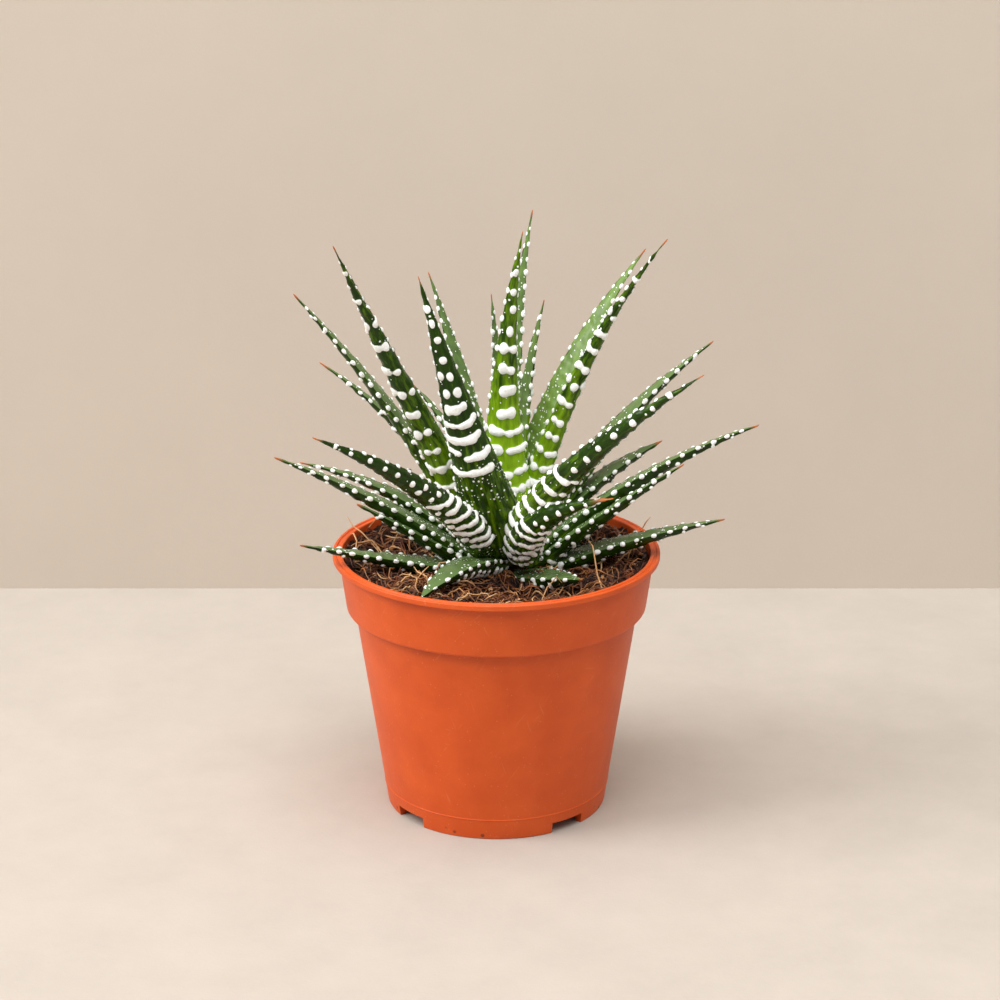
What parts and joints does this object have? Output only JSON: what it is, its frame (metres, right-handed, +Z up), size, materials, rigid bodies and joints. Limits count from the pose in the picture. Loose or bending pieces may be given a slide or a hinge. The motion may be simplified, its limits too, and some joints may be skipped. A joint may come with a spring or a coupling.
{
  "type": "potted haworthia",
  "caption": "Small zebra haworthia: pointed green succulent leaves banded with white tubercles, growing from coir potting mix in a round terracotta-coloured plastic nursery pot.",
  "frame": {"origin": "on the pot's axis, in the plane of its foot, which is the surface that the pot stands on", "axes": "+Z up along the pot's axis; -Y is the front; +X is to the right seen from the front"},
  "size_m": [0.1308, 0.1072, 0.1682],
  "materials": {
    "pot_plastic": "matte moulded polypropylene, terracotta colour, fine scuffs",
    "potting_mix": "rough coir and peat",
    "stem_tissue": "matte pale green plant tissue",
    "leaf_old": "satin dark green leaf skin with raised white tubercles",
    "leaf_young": "satin mid green leaf skin with raised white tubercles",
    "leaf_dry": "dull grey brown dried leaf"
  },
  "bodies": {
    "root": {"pot": "pot_plastic", "soil": "potting_mix", "stem": "stem_tissue", "leaf_01": "leaf_old", "leaf_02": "leaf_old", "leaf_03": "leaf_old", "leaf_04": "leaf_old", "leaf_05": "leaf_old", "leaf_06": "leaf_old", "leaf_07": "leaf_old", "leaf_08": "leaf_old", "leaf_09": "leaf_old", "leaf_10": "leaf_old", "leaf_11": "leaf_old", "leaf_12": "leaf_old", "leaf_13": "leaf_old", "leaf_14": "leaf_dry", "leaf_15": "leaf_old", "leaf_16": "leaf_old", "leaf_17": "leaf_old", "leaf_18": "leaf_old", "leaf_19": "leaf_old", "leaf_20": "leaf_old", "leaf_21": "leaf_young", "leaf_22": "leaf_young", "leaf_23": "leaf_young", "leaf_24": "leaf_young", "leaf_25": "leaf_young", "leaf_26": "leaf_young", "leaf_27": "leaf_young", "leaf_28": "leaf_young", "leaf_29": "leaf_young", "leaf_30": "leaf_young", "leaf_31": "leaf_young", "leaf_32": "leaf_young", "leaf_33": "leaf_young", "leaf_34": "leaf_young"}
  },
  "joints": []
}
